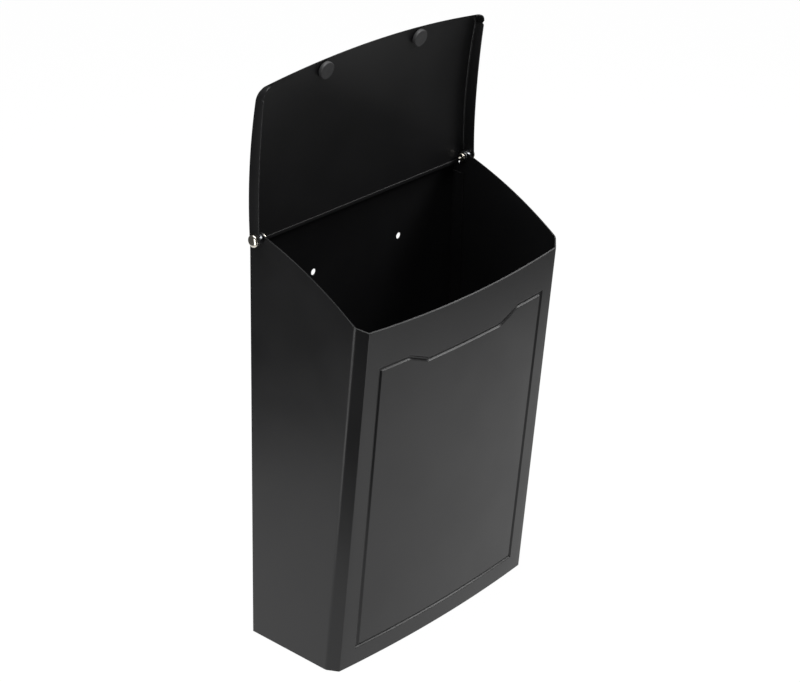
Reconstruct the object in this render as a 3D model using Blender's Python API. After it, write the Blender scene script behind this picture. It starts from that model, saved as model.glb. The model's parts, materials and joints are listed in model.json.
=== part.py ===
"""Wall mounted mailbox of folded sheet steel with a riveted top lid, shown open.

A wrap of sheet makes both sides, two narrow corner faces and the bowed front
with its pressed groove.  A back panel and a floor panel close it.  The lid
turns on two rivets, one through each side, with a spacer bush between wall
and lid, and rests on two rubber bumpers when it is shut.

Box frame: X to the right seen from the front, Y = 0 at the wall and negative
towards the front, Z up from the bottom edge.  Depth means distance in front
of the wall.  The origin of the part is the middle of the back face.
"""

import math

import bmesh
import bpy
from mathutils import Vector

MM = 0.001

# ------------------------------------------------------------ driving sizes
SHEET = 1.0 * MM                 # steel with its powder coat
GAP = 0.3 * MM                   # between two pieces that touch
BEND = 2.5 * MM                  # outer radius of a fold in the wrap

WIDTH = 238 * MM                 # over the two side walls
BACK_HEIGHT = 363 * MM           # bottom edge to the top of the back panel
TOP_DROP = 49 * MM               # the top edge falls this far along a side
TOP_RADIUS = 335 * MM            # crown of the sloping top edge
DEPTH_TOP = 117 * MM             # wall to front corner, at the top
DEPTH_FOOT = 92.1 * MM           # the same at the bottom edge
CORNER_RUN_TOP = 7.5 * MM        # depth taken by the narrow corner face
CORNER_RUN_FOOT = 9.6 * MM
CORNER_INSET_TOP = 8.4 * MM      # width taken by the narrow corner face
CORNER_INSET_FOOT = 5.5 * MM
BOW_TOP = 5.0 * MM               # the front bulges this far at its middle
BOW_FOOT = 5.6 * MM

PANEL_SIDE_MARGIN = 14.6 * MM    # front corner to the groove's centre line
PANEL_FOOT_MARGIN = 17.8 * MM    # bottom edge to the groove
PANEL_TOP_MARGIN = 35.2 * MM     # top front corner to the groove
PANEL_SHOULDER = 31.5 * MM       # length of the groove's high shoulders
PANEL_STEP_RUN = 21.6 * MM       # the slanting step beside each shoulder
PANEL_STEP_DROP = 9.1 * MM
GROOVE_WIDTH = 3.4 * MM
GROOVE_FLOOR = 1.3 * MM
GROOVE_DEPTH = 1.5 * MM

PIVOT_DEPTH = 10.3 * MM          # wall to the hinge axis
EAR_RADIUS = 4.1 * MM            # rounded ear of the side wall round the axis
PLATE_CLEARANCE = 0.8 * MM       # ear to the lid's underside
SWING_CLEARANCE = 0.6 * MM       # lid's rear edge to back panel and shoulders
SHANK_RADIUS = 2.4 * MM
HEAD_RADIUS = 5.1 * MM
HEAD_HEIGHT = 2.9 * MM
CLINCH_RADIUS = 3.4 * MM
CLINCH_HEIGHT = 2.2 * MM
WASHER_RADIUS = 4.5 * MM
WASHER_THICKNESS = 0.8 * MM
BUSH_RADIUS = 4.3 * MM

LID_SIDE_ROOM = 5.0 * MM         # side wall to the inside of the lid's skirt
LID_OVERHANG = 6.4 * MM          # lid's front corner past the box's
LID_CORNER_RUN = 8.4 * MM
LID_CORNER_INSET = 8.6 * MM
LID_BOW = 6.6 * MM
LID_RADIUS = 480 * MM            # crown of the lid, front to back
SKIRT_END_RADIUS = 5.8 * MM      # rounded end of the skirt round the axis
SKIRT_TAPER = 3.2 * MM           # the skirt grows this much shallower
SKIRT_TAPER_START = 45 * MM      # from this depth to its front end
SKIRT_NOTCH = 1.4 * MM           # relief cut in the skirt at the corner fold
SKIRT_NOTCH_RUN = 1.6 * MM
SKIRT_CORNER_RADIUS = 4.0 * MM
HEM_WIDTH = 3.4 * MM             # rear edge of the lid folded under
HEM_THICKNESS = 1.0 * MM
LID_OPEN = math.radians(110.5)   # from shut to the pose shown

BUMPER_RADIUS = 7.0 * MM
BUMPER_HEIGHT = 3.5 * MM
BUMPER_SPACING = 106 * MM
BUMPER_SET_BACK = -0.4 * MM      # behind the front wall's outer face
BUMPER_CHAMFER = 0.7 * MM

FLANGE = 12 * MM                 # folds of the back and floor panels
FLOOR_FLANGE = 10 * MM
DRAIN_RADIUS = 2.5 * MM
DRAIN_SPACING = 150 * MM
DRAIN_DEPTH = 60 * MM
SCREW_SPACING_X = 100 * MM
SCREW_BELOW_TOP = 60 * MM
SCREW_ABOVE_FOOT = 45 * MM
SCREW_HOLE_RADIUS = 2.7 * MM

ROUND_STEPS = 24


# ---------------------------------------------------------------- geometry
def circle_centre(near, near_distance, far, far_distance):
    """Centre below two points, at a stated distance from each."""
    step = Vector(far) - Vector(near)
    span = step.length
    along = (near_distance ** 2 - far_distance ** 2 + span ** 2) / (2 * span)
    across = math.sqrt(near_distance ** 2 - along ** 2)
    unit = step / span
    below = Vector((unit.y, -unit.x))
    return Vector(near) + unit * along + below * across


class Arc:
    """A crowned edge seen from the side: height as a function of depth."""

    def __init__(self, centre, radius):
        self.centre = centre
        self.radius = radius

    def height(self, depth, offset=0.0):
        run = depth - self.centre.x
        return self.centre.y + math.sqrt((self.radius + offset) ** 2 - run ** 2)

    def slope(self, depth):
        return math.asin((depth - self.centre.x) / self.radius)


SIDE_DEPTH_TOP = DEPTH_TOP - CORNER_RUN_TOP
SIDE_DEPTH_FOOT = DEPTH_FOOT - CORNER_RUN_FOOT
CORNER_HEIGHT = BACK_HEIGHT - TOP_DROP
HALF_TOP = WIDTH / 2 - CORNER_INSET_TOP
HALF_FOOT = WIDTH / 2 - CORNER_INSET_FOOT

TOP_EDGE = Arc(circle_centre((0, BACK_HEIGHT), TOP_RADIUS,
                             (SIDE_DEPTH_TOP, CORNER_HEIGHT), TOP_RADIUS),
               TOP_RADIUS)
PIVOT_HEIGHT = TOP_EDGE.height(PIVOT_DEPTH, -EAR_RADIUS)
PIVOT = Vector((0, -PIVOT_DEPTH, PIVOT_HEIGHT))
PLATE_DISTANCE = EAR_RADIUS + PLATE_CLEARANCE
SKIRT_DEPTH = PLATE_DISTANCE + SKIRT_END_RADIUS

BUMPER_X = BUMPER_SPACING / 2
WALL_DEPTH_AT_BUMPER = DEPTH_TOP + BOW_TOP * (1 - (BUMPER_X / HALF_TOP) ** 2)
SHUT_GAP = GAP + BUMPER_HEIGHT + GAP
REST_DEPTH = WALL_DEPTH_AT_BUMPER - SHEET
REST_SLOPE = TOP_EDGE.slope(REST_DEPTH)
REST_POINT = (REST_DEPTH + SHUT_GAP * math.sin(REST_SLOPE),
              TOP_EDGE.height(REST_DEPTH) + SHUT_GAP * math.cos(REST_SLOPE))
LID_UNDERSIDE = Arc(circle_centre((PIVOT_DEPTH, PIVOT_HEIGHT),
                                  LID_RADIUS - PLATE_DISTANCE,
                                  REST_POINT, LID_RADIUS),
                    LID_RADIUS)

SWING_RADIUS = PIVOT_DEPTH - SHEET - SWING_CLEARANCE


def lid_rear_depth():
    """Depth of the lid's rear edge when shut, inside the swing radius."""
    depth = PIVOT_DEPTH
    step = 0.05 * MM
    while True:
        rise = LID_UNDERSIDE.height(depth - step, SHEET) - PIVOT_HEIGHT
        if math.hypot(PIVOT_DEPTH - depth + step, rise) > SWING_RADIUS:
            return depth
        depth -= step


LID_REAR = lid_rear_depth()
LID_REAR_RISE = LID_UNDERSIDE.height(LID_REAR, SHEET) - PIVOT_HEIGHT
LID_REAR_DROP = ((PIVOT_DEPTH - LID_REAR) * math.sin(LID_OPEN)
                 - LID_REAR_RISE * math.cos(LID_OPEN))
LID_HALF = WIDTH / 2 + LID_SIDE_ROOM + SHEET
LID_CORNER_HALF = LID_HALF - LID_CORNER_INSET
LID_CORNER_DEPTH = DEPTH_TOP + LID_OVERHANG
LID_SIDE_DEPTH = LID_CORNER_DEPTH - LID_CORNER_RUN


# ------------------------------------------------------------ Blender helpers
def clear_scene():
    for item in list(bpy.data.objects):
        bpy.data.objects.remove(item, do_unlink=True)


def material(name, colour, roughness, metallic=0.0):
    made = bpy.data.materials.new(name)
    made.use_nodes = True
    shader = made.node_tree.nodes["Principled BSDF"]
    shader.inputs["Base Color"].default_value = (*colour, 1.0)
    shader.inputs["Roughness"].default_value = roughness
    shader.inputs["Metallic"].default_value = metallic
    return made


def empty(name, location, parent=None):
    made = bpy.data.objects.new(name, None)
    made.location = location
    made.parent = parent
    bpy.context.collection.objects.link(made)
    return made


def add_object(name, mesh, parent, surface=None):
    made = bpy.data.objects.new(name, mesh)
    made.parent = parent
    bpy.context.collection.objects.link(made)
    if surface:
        mesh.materials.append(surface)
    return made


def finish_mesh(name, shape, smooth_angle=30):
    """Weld, orient and store a bmesh."""
    bmesh.ops.remove_doubles(shape, verts=shape.verts, dist=1e-6)
    bmesh.ops.dissolve_degenerate(shape, edges=shape.edges, dist=1e-6)
    bmesh.ops.recalc_face_normals(shape, faces=shape.faces)
    mesh = bpy.data.meshes.new(name)
    shape.to_mesh(mesh)
    shape.free()
    mesh.shade_smooth()
    mesh.set_sharp_from_angle(angle=math.radians(smooth_angle))
    return mesh


def loft(name, loops, caps=True):
    """Skin closed loops of equal length into one closed body."""
    shape = bmesh.new()
    rings = [[shape.verts.new(point) for point in loop] for loop in loops]
    count = len(rings[0])
    for ring, following in zip(rings, rings[1:]):
        for k in range(count):
            after = (k + 1) % count
            shape.faces.new((ring[k], ring[after], following[after], following[k]))
    if caps:
        shape.faces.new(list(reversed(rings[0])))
        shape.faces.new(rings[-1])
    return finish_mesh(name, shape)


def turned(name, profile):
    """Body of revolution about X from (x, radius) pairs, closed by its ends."""
    shape = bmesh.new()
    points = [shape.verts.new((x, 0, radius)) for x, radius in profile]
    edges = [shape.edges.new(pair) for pair in zip(points, points[1:])]
    if profile[0][1] > 0:
        edges.append(shape.edges.new((points[-1], points[0])))
    bmesh.ops.spin(shape, geom=points + edges, cent=(0, 0, 0), axis=(1, 0, 0),
                   angle=math.tau, steps=ROUND_STEPS)
    return finish_mesh(name, shape, smooth_angle=40)


def prism(name, outline, low, high, axis="X"):
    """Outline of (depth, height) or (x, z) points drawn out along X or Y."""
    def point(a, b, reach):
        if axis == "X":
            return (reach, -a, b)
        return (a, reach, b)
    return loft(name, [[point(a, b, low) for a, b in outline],
                       [point(a, b, high) for a, b in outline]])


def cut(target, name, mesh, location=(0, 0, 0)):
    """Subtract a hidden cutter from an object."""
    cutter = add_object(name, mesh, target.parent)
    cutter.location = location
    cutter.hide_render = True
    cutter.display_type = "WIRE"
    modifier = target.modifiers.new(name, "BOOLEAN")
    modifier.operation = "DIFFERENCE"
    modifier.solver = "EXACT"
    modifier.object = cutter


# ------------------------------------------------------------ box section
def rounded_section(corners, radius, steps=3):
    """Plan outline through corners: list of (x, depth, normal x, normal depth)."""
    section = []
    for k, corner in enumerate(corners):
        here = Vector(corner)
        if k in (0, len(corners) - 1):
            other = Vector(corners[1 if k == 0 else k - 1])
            along = (other - here) if k == 0 else (here - other)
            along.normalize()
            section.append((here.x, here.y, -along.y, along.x))
            continue
        before = (here - Vector(corners[k - 1])).normalized()
        after = (Vector(corners[k + 1]) - here).normalized()
        turn = before.angle(after)
        reach = radius * math.tan(turn / 2)
        normal = Vector((-before.y, before.x))
        centre = here - before * reach - normal * radius
        for step in range(steps + 1):
            heading = math.atan2(normal.y, normal.x) - turn * step / steps
            unit = Vector((math.cos(heading), math.sin(heading)))
            spot = centre + unit * radius
            section.append((spot.x, spot.y, unit.x, unit.y))
    return section


def front_stations():
    """X of the front's columns as (share of half width, offset) pairs, mirrored."""
    half = GROOVE_WIDTH / 2
    floor = GROOVE_FLOOR / 2
    edge = HALF_TOP - PANEL_SIDE_MARGIN
    kinks = [edge - PANEL_SHOULDER, edge - PANEL_SHOULDER - PANEL_STEP_RUN]
    columns = [edge - half, edge - floor, edge + floor, edge + half, *kinks]
    spread = [kinks[1] * share for share in (0.0, 0.25, 0.5, 0.75)]
    spread.append((kinks[0] + edge) / 2)
    right = sorted(columns + spread)
    return sorted({-x for x in right} | set(right))


def box_columns(inset):
    """Straight slanting lines of the wrap: (foot x, foot depth, top x, top depth).

    The two ends of each line are the plan sections at the bottom edge and at
    CORNER_HEIGHT, so a point at any height lies between them in proportion.
    """
    def corners(depth, run, half, inset_x):
        outer = half + inset_x
        return [(-outer, 0), (-outer, depth - run), (-half, depth)]

    foot = rounded_section(corners(DEPTH_FOOT, CORNER_RUN_FOOT, HALF_FOOT,
                                   CORNER_INSET_FOOT)
                           + [(0, DEPTH_FOOT + BOW_FOOT)], BEND)[:-1]
    top = rounded_section(corners(DEPTH_TOP, CORNER_RUN_TOP, HALF_TOP,
                                  CORNER_INSET_TOP)
                          + [(0, DEPTH_TOP + BOW_TOP)], BEND)[:-1]
    rows = list(zip(foot, top))
    left = []
    for share in range(12):
        part = share / 12
        left.append(((foot[0][0], foot[1][1] * part, -1, 0),
                     (top[0][0], top[1][1] * part, -1, 0)))
    left += rows[1:]

    def shrink(end):
        x, depth, nx, nd = end
        return (x - nx * inset, depth - nd * inset)

    lines = [(*shrink(low), *shrink(high)) for low, high in left]
    front = []
    for x in front_stations():
        ends = []
        for depth, half, bow in ((DEPTH_FOOT, HALF_FOOT, BOW_FOOT),
                                 (DEPTH_TOP, HALF_TOP, BOW_TOP)):
            ends += [x, depth + bow * (1 - (x / half) ** 2) - inset]
        front.append(tuple(ends))
    right = [(-a, b, -c, d) for a, b, c, d in reversed(lines)]
    return lines, front, right


def on_line(line, height):
    part = height / CORNER_HEIGHT
    return (line[0] + (line[2] - line[0]) * part,
            line[1] + (line[3] - line[1]) * part)


def top_of(line):
    """Height at which a line meets the sloping top edge."""
    height = CORNER_HEIGHT
    for _ in range(12):
        height = TOP_EDGE.height(on_line(line, height)[1])
    return height


def groove_top(x):
    """Height of the groove's upper run: two shoulders and a lower middle."""
    edge = HALF_TOP - PANEL_SIDE_MARGIN
    high = TOP_EDGE.height(DEPTH_TOP) - PANEL_TOP_MARGIN
    into_step = edge - PANEL_SHOULDER - abs(x)
    part = min(max(into_step / PANEL_STEP_RUN, 0), 1)
    return high - PANEL_STEP_DROP * part


def groove_drop(x, height):
    """How far the groove is pressed in at a point of the front."""
    half = GROOVE_WIDTH / 2
    edge = HALF_TOP - PANEL_SIDE_MARGIN + half
    inside = min(edge - abs(x), height - (PANEL_FOOT_MARGIN - half),
                 groove_top(x) + half - height)
    wall = (GROOVE_WIDTH - GROOVE_FLOOR) / 2
    rise = min(inside / wall, (GROOVE_WIDTH - inside) / wall, 1)
    return GROOVE_DEPTH * max(rise, 0)


def row_heights(x, top):
    """Heights of the wrap's rows on the column at x, bottom to top."""
    half = GROOVE_WIDTH / 2
    floor = GROOVE_FLOOR / 2
    foot = PANEL_FOOT_MARGIN
    head = groove_top(x)
    middle = (foot + head) / 2
    return [0, foot - half, foot - floor, foot + floor, foot + half, middle,
            head - half, head - floor, head + floor, head + half, top]


def build_wrap(frame, surface):
    """Both sides, corner faces and the grooved front, as one folded sheet."""
    skins = []
    for inset in (0.0, SHEET):
        grid = []
        left, front, right = box_columns(inset)
        for group, lines in (("side", left), ("front", front), ("side", right)):
            for line in lines:
                top = top_of(line)
                column = []
                for height in row_heights(line[2], top):
                    x, depth = on_line(line, height)
                    if group == "front":
                        x = line[2] if abs(line[2]) < HALF_TOP else x
                        depth -= groove_drop(x, height)
                    column.append((x, -depth, height))
                grid.append(column)
        skins.append(grid)
    shape = bmesh.new()
    outer, inner = [[[shape.verts.new(p) for p in column] for column in grid]
                    for grid in skins]
    columns, rows = len(outer), len(outer[0])
    for a in range(columns - 1):
        for b in range(rows - 1):
            shape.faces.new((outer[a][b], outer[a + 1][b],
                             outer[a + 1][b + 1], outer[a][b + 1]))
            shape.faces.new((inner[a][b], inner[a][b + 1],
                             inner[a + 1][b + 1], inner[a + 1][b]))
        for b in (0, rows - 1):
            shape.faces.new((outer[a][b], inner[a][b],
                             inner[a + 1][b], outer[a + 1][b]))
    for b in range(rows - 1):
        for a in (0, columns - 1):
            shape.faces.new((outer[a][b], outer[a][b + 1],
                             inner[a][b + 1], inner[a][b]))
    wrap = add_object("body_wrap", finish_mesh("body_wrap", shape), frame, surface)
    reach = WIDTH
    cut(wrap, "rivet_hole_cutter",
        turned("rivet_hole_cutter", [(-reach, 0), (-reach, SHANK_RADIUS + GAP),
                                     (reach, SHANK_RADIUS + GAP), (reach, 0)]),
        PIVOT)
    cut(wrap, "ear_cutter", prism("ear_cutter", ear_outline(), -reach, reach))
    return wrap


def ear_outline():
    """Metal removed behind the rounded ear, so that the lid can swing down."""
    shoulder = PIVOT_HEIGHT - LID_REAR_DROP - SWING_CLEARANCE
    neck = math.radians(-20)
    crest = math.pi / 2 + TOP_EDGE.slope(PIVOT_DEPTH)
    steps = 12
    behind = -2 * SHEET
    above = BACK_HEIGHT + PIVOT_DEPTH
    outline = [(behind, shoulder),
               (PIVOT_DEPTH - EAR_RADIUS * math.cos(neck), shoulder)]
    for k in range(steps + 1):
        angle = neck + (crest - neck) * k / steps
        outline.append((PIVOT_DEPTH - EAR_RADIUS * math.cos(angle),
                        PIVOT_HEIGHT + EAR_RADIUS * math.sin(angle)))
    outline += [(outline[-1][0], above), (behind, above)]
    return outline


# ------------------------------------------------------------ other panels
def build_back(frame, surface):
    """Flat back with folded side flanges and four screw holes."""
    half = WIDTH / 2 - SHEET - GAP
    flange_low = SHEET + FLOOR_FLANGE + 2 * GAP
    flange_high = PIVOT_HEIGHT - SWING_RADIUS - SWING_CLEARANCE - HEAD_RADIUS
    channel = [(-half, 0), (-half, FLANGE), (-half + SHEET, FLANGE),
               (-half + SHEET, SHEET), (half - SHEET, SHEET),
               (half - SHEET, FLANGE), (half, FLANGE), (half, 0)]
    plain = [(x, min(depth, SHEET)) for x, depth in channel]
    levels = [(plain, 0), (plain, flange_low), (channel, flange_low),
              (channel, flange_high), (plain, flange_high), (plain, BACK_HEIGHT)]
    shape = bmesh.new()
    rings = [[shape.verts.new((x, -depth, z)) for x, depth in outline]
             for outline, z in levels]
    for ring, following in zip(rings, rings[1:]):
        for k in range(len(ring)):
            after = (k + 1) % len(ring)
            shape.faces.new((ring[k], ring[after], following[after], following[k]))
    shape.faces.new(rings[0])
    shape.faces.new(rings[-1])
    back = add_object("back_panel", finish_mesh("back_panel", shape), frame, surface)
    for column, side in (("left", -1), ("right", 1)):
        for row, height in (("lower", SCREW_ABOVE_FOOT),
                            ("upper", BACK_HEIGHT - SCREW_BELOW_TOP)):
            name = f"screw_cutter_{row}_{column}"
            cut(back, name, round_cutter(name, SCREW_HOLE_RADIUS),
                (side * SCREW_SPACING_X / 2, 0, height))
    return back


def round_cutter(name, radius):
    """Short round cutter along Y."""
    ring = [(radius * math.cos(math.tau * k / ROUND_STEPS),
             radius * math.sin(math.tau * k / ROUND_STEPS))
            for k in range(ROUND_STEPS)]
    return prism(name, ring, -2 * SHEET, 2 * SHEET, axis="Y")


def build_floor(frame, surface):
    """Tray inside the foot of the wrap, its flanges turned up on every side."""
    rear = SHEET + GAP

    def ring(inset, rear_depth, height):
        left, front, right = box_columns(inset)
        points = []
        for line in left + front + right:
            x, depth = on_line(line, height)
            if depth > rear_depth:
                points.append((x, -depth, height))
        limit = WIDTH / 2 - inset
        return [(-limit, -rear_depth, height), *points, (limit, -rear_depth, height)]

    outer = SHEET + GAP
    inner = outer + SHEET
    loops = [ring(outer, rear, 0), ring(outer, rear, FLOOR_FLANGE),
             ring(inner, rear + SHEET, FLOOR_FLANGE), ring(inner, rear + SHEET, SHEET)]
    floor = add_object("floor_panel", loft("floor_panel", loops), frame, surface)
    for side in (-1, 1):
        name = "drain_cutter_left" if side < 0 else "drain_cutter_right"
        drain = [(DRAIN_RADIUS * math.cos(math.tau * k / ROUND_STEPS),
                  DRAIN_RADIUS * math.sin(math.tau * k / ROUND_STEPS))
                 for k in range(ROUND_STEPS)]
        column = loft(name, [[(x, y, z) for x, y in drain]
                             for z in (-SHEET, 2 * SHEET)])
        cut(floor, name, column, (side * DRAIN_SPACING / 2, -DRAIN_DEPTH, 0))
    return floor


# ------------------------------------------------------------ lid
def lid_half_width(depth):
    """Half the lid's width at a depth: straight, rounded corner, then bowed front."""
    if depth <= LID_CORNER_DEPTH:
        return LID_CORNER_HALF + corner_reach(depth, 0)
    part = (depth - LID_CORNER_DEPTH) / LID_BOW
    return LID_CORNER_HALF * math.sqrt(max(1 - part, 0))


def corner_reach(depth, inset):
    """Reach of the rounded corner, a quarter of an ellipse moved in by inset."""
    part = (depth - LID_SIDE_DEPTH) / (LID_CORNER_RUN - inset)
    part = min(max(part, 0), 1)
    return (LID_CORNER_INSET - inset) * math.sqrt(1 - part ** 2)


def skirt_drop(depth):
    """Depth of the skirt below the lid's underside at a distance from the wall."""
    under = LID_UNDERSIDE.height(depth)
    if depth < PIVOT_DEPTH:
        run = PIVOT_DEPTH - depth
        return under - PIVOT_HEIGHT + math.sqrt(max(SKIRT_END_RADIUS ** 2 - run ** 2, 0))
    part = (depth - SKIRT_TAPER_START) / (LID_CORNER_DEPTH - SKIRT_TAPER_START)
    reach = SKIRT_DEPTH - SKIRT_TAPER * max(part, 0) ** 2
    to_fold = abs(depth - LID_SIDE_DEPTH)
    reach -= SKIRT_NOTCH * max(1 - to_fold / SKIRT_NOTCH_RUN, 0)
    drop = under - LID_UNDERSIDE.height(depth, -reach)
    run = SKIRT_CORNER_RADIUS - (LID_CORNER_DEPTH - depth)
    if run > 0:
        drop -= SKIRT_CORNER_RADIUS
        drop += math.sqrt(max(SKIRT_CORNER_RADIUS ** 2 - run ** 2, 0))
    return drop


def lid_stations():
    """(depth, skirt drop, hem thickness) of the lid's sections, rear to front."""
    depths = [LID_REAR, LID_REAR + HEM_WIDTH / 2, LID_REAR + HEM_WIDTH]
    stations = [(d, skirt_drop(d), HEM_THICKNESS) for d in depths]
    stations.append((depths[-1], skirt_drop(depths[-1]), 0))
    first = PIVOT_DEPTH + SHEET
    last = LID_SIDE_DEPTH - SKIRT_NOTCH_RUN
    steps = 12
    plain = [first + (last - first) * k / steps for k in range(steps + 1)]
    plain += [LID_SIDE_DEPTH, LID_SIDE_DEPTH + SKIRT_NOTCH_RUN]
    round_start = LID_CORNER_DEPTH - SKIRT_CORNER_RADIUS
    for k in range(6):
        angle = math.pi / 2 * k / 5
        plain.append(round_start + SKIRT_CORNER_RADIUS * math.sin(angle))
    stations += [(depth, skirt_drop(depth), 0) for depth in plain]
    stations.append((LID_CORNER_DEPTH, 0, 0))
    bow_steps = 14
    for k in range(1, bow_steps + 1):
        angle = math.pi / 2 * k / bow_steps
        depth = LID_CORNER_DEPTH + LID_BOW * math.sin(angle) ** 2
        stations.append((depth, 0, 0))
    return stations


def lid_section(depth, drop, hem):
    """Closed outline across the lid, from the lower left corner round."""
    half = lid_half_width(depth)
    inner = LID_CORNER_HALF + corner_reach(depth, SHEET)
    face = max(min(inner, half - SHEET), 0)
    hem_half = min(WIDTH / 2 - SHEET - WASHER_THICKNESS - 2 * GAP, face)
    over = LID_UNDERSIDE.height(depth, SHEET)
    under = LID_UNDERSIDE.height(depth)
    right = [(half, over), (half, under), (half, under - drop),
             (face, under - drop), (face, under),
             (hem_half, under), (hem_half, under - hem)]
    left = [(-x, z) for x, z in reversed(right)]
    return [(x, -(depth - PIVOT_DEPTH), z - PIVOT_HEIGHT) for x, z in right + left]


def build_lid(hinge, surface):
    """Crowned plate with a skirt down both sides and round the front corners."""
    loops = [lid_section(*station) for station in lid_stations()]
    lid = add_object("lid", loft("lid", loops), hinge, surface)
    reach = WIDTH
    cut(lid, "lid_hole_cutter",
        turned("lid_hole_cutter", [(-reach, 0), (-reach, SHANK_RADIUS + GAP),
                                   (reach, SHANK_RADIUS + GAP), (reach, 0)]))
    return lid


def build_bumpers(hinge, surface):
    """Rubber pads under the lid that land on the front wall's top edge."""
    chamfer = BUMPER_CHAMFER
    profile = [(0, 0), (0, BUMPER_RADIUS), (BUMPER_HEIGHT - chamfer, BUMPER_RADIUS),
               (BUMPER_HEIGHT, BUMPER_RADIUS - chamfer), (BUMPER_HEIGHT, 0)]
    depth = WALL_DEPTH_AT_BUMPER - BUMPER_SET_BACK
    slope = LID_UNDERSIDE.slope(depth)
    place = Vector((0, -(depth - PIVOT_DEPTH), LID_UNDERSIDE.height(depth) - PIVOT_HEIGHT))
    place += Vector((0, math.sin(slope), -math.cos(slope))) * GAP
    for side, name in ((-1, "bumper_left"), (1, "bumper_right")):
        pad = add_object(name, turned(name, profile), hinge, surface)
        pad.location = place + Vector((side * BUMPER_X, 0, 0))
        pad.rotation_mode = "QUATERNION"
        down = Vector((0, math.sin(slope), -math.cos(slope)))
        pad.rotation_quaternion = Vector((1, 0, 0)).rotation_difference(down)


# ------------------------------------------------------------ hinge pieces
def rivet_profile():
    """(x outwards from the side wall's inner face, radius) round one rivet."""
    head_base = SHEET + LID_SIDE_ROOM + SHEET + GAP
    clinch_base = -(GAP + WASHER_THICKNESS + GAP)
    steps = 5
    profile = [(clinch_base - CLINCH_HEIGHT, 0)]
    for k in range(1, steps + 1):
        angle = math.pi / 2 * k / steps
        profile.append((clinch_base - CLINCH_HEIGHT * math.cos(angle),
                        CLINCH_RADIUS * math.sin(angle)))
    profile += [(clinch_base, SHANK_RADIUS), (head_base, SHANK_RADIUS),
                (head_base, HEAD_RADIUS)]
    for k in range(1, steps + 1):
        angle = math.pi / 2 * k / steps
        profile.append((head_base + HEAD_HEIGHT * math.sin(angle),
                        HEAD_RADIUS * math.cos(angle)))
    profile[-1] = (head_base + HEAD_HEIGHT, 0)
    return profile


def ring_profile(start, thickness, radius):
    bore = SHANK_RADIUS + GAP
    return [(start, bore), (start, radius), (start + thickness, radius),
            (start + thickness, bore)]


def build_hinges(frame, plated, zinc):
    """Rivet, spacer bush and inner washer of each side, mirrored."""
    pieces = (("hinge_rivet", rivet_profile(), plated),
              ("hinge_spacer", ring_profile(SHEET + GAP, LID_SIDE_ROOM - 2 * GAP,
                                            BUSH_RADIUS), zinc),
              ("hinge_washer", ring_profile(-GAP - WASHER_THICKNESS,
                                            WASHER_THICKNESS, WASHER_RADIUS), zinc))
    wall = WIDTH / 2 - SHEET
    for side, tag in ((-1, "left"), (1, "right")):
        for base, profile, surface in pieces:
            name = base + "_" + tag
            mirrored = [(side * (wall + x), radius) for x, radius in profile]
            piece = add_object(name, turned(name, mirrored), frame, surface)
            piece.location = PIVOT


def main():
    clear_scene()
    coat = material("satin_black_powder_coat", (0.012, 0.012, 0.013), 0.38)
    plated = material("bright_nickel_plate", (0.78, 0.76, 0.72), 0.16, 1.0)
    zinc = material("zinc_plate", (0.62, 0.63, 0.65), 0.3, 1.0)
    rubber = material("grey_rubber", (0.055, 0.055, 0.058), 0.75)
    frame = empty("mailbox", (0, 0, -BACK_HEIGHT / 2))
    build_wrap(frame, coat)
    build_back(frame, coat)
    build_floor(frame, coat)
    build_hinges(frame, plated, zinc)
    hinge = empty("lid_hinge", PIVOT, frame)
    hinge.rotation_euler = (-LID_OPEN, 0, 0)
    build_lid(hinge, coat)
    build_bumpers(hinge, rubber)
    bpy.context.view_layer.update()


main()
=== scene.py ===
"""Looks of a wall mounted mailbox: fine folded sheet, powder coat, plated rivets and rubber pads.

Laid out as a Blender add-on.  Every length is in metres unless its name says
otherwise.  Depth is the distance in front of the wall plane Y = 0, and height
is measured from the bottom edge of the box.
"""

import json
import math

import bmesh
import bpy
import numpy as np
from bpy.props import FloatProperty, FloatVectorProperty, IntProperty, PointerProperty, StringProperty
from bpy.types import Operator, Panel, PropertyGroup
from mathutils import Matrix, Vector


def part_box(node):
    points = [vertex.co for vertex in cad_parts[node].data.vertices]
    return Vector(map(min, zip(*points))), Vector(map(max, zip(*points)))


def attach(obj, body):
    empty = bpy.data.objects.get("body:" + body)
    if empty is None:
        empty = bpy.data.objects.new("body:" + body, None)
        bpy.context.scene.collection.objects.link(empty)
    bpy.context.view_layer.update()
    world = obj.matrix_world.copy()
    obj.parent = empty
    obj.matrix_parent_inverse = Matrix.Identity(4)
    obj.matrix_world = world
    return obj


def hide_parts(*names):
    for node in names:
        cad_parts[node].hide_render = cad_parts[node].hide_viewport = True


bl_info = {
    "name": "Wall Mailbox Looks",
    "version": (1, 0, 0),
    "blender": (4, 5, 0),
    "location": "View3D > Sidebar > Mailbox",
    "description": "Builds the visible surfaces, finishes and studio of a wall mounted mailbox",
    "category": "Object",
}

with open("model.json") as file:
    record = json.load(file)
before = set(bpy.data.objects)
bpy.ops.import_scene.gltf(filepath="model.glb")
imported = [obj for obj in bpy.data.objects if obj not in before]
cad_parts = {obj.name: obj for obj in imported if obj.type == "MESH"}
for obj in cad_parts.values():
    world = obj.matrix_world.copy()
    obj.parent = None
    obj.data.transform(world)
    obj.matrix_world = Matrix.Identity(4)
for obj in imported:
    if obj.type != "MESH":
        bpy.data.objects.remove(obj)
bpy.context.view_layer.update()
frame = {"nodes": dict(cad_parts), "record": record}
BOX_LOW, BOX_HIGH = (np.array(corner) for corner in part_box("back_panel"))
WRAP_LOW, WRAP_HIGH = (np.array(corner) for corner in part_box("body_wrap"))
HINGE = frame["record"]["behaviour"]["joints"][0]["pos_m"]
BASE = float(BOX_LOW[2])
WIDTH = float(WRAP_HIGH[0] - WRAP_LOW[0])
BACK_HEIGHT = float(BOX_HIGH[2] - BOX_LOW[2])
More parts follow.
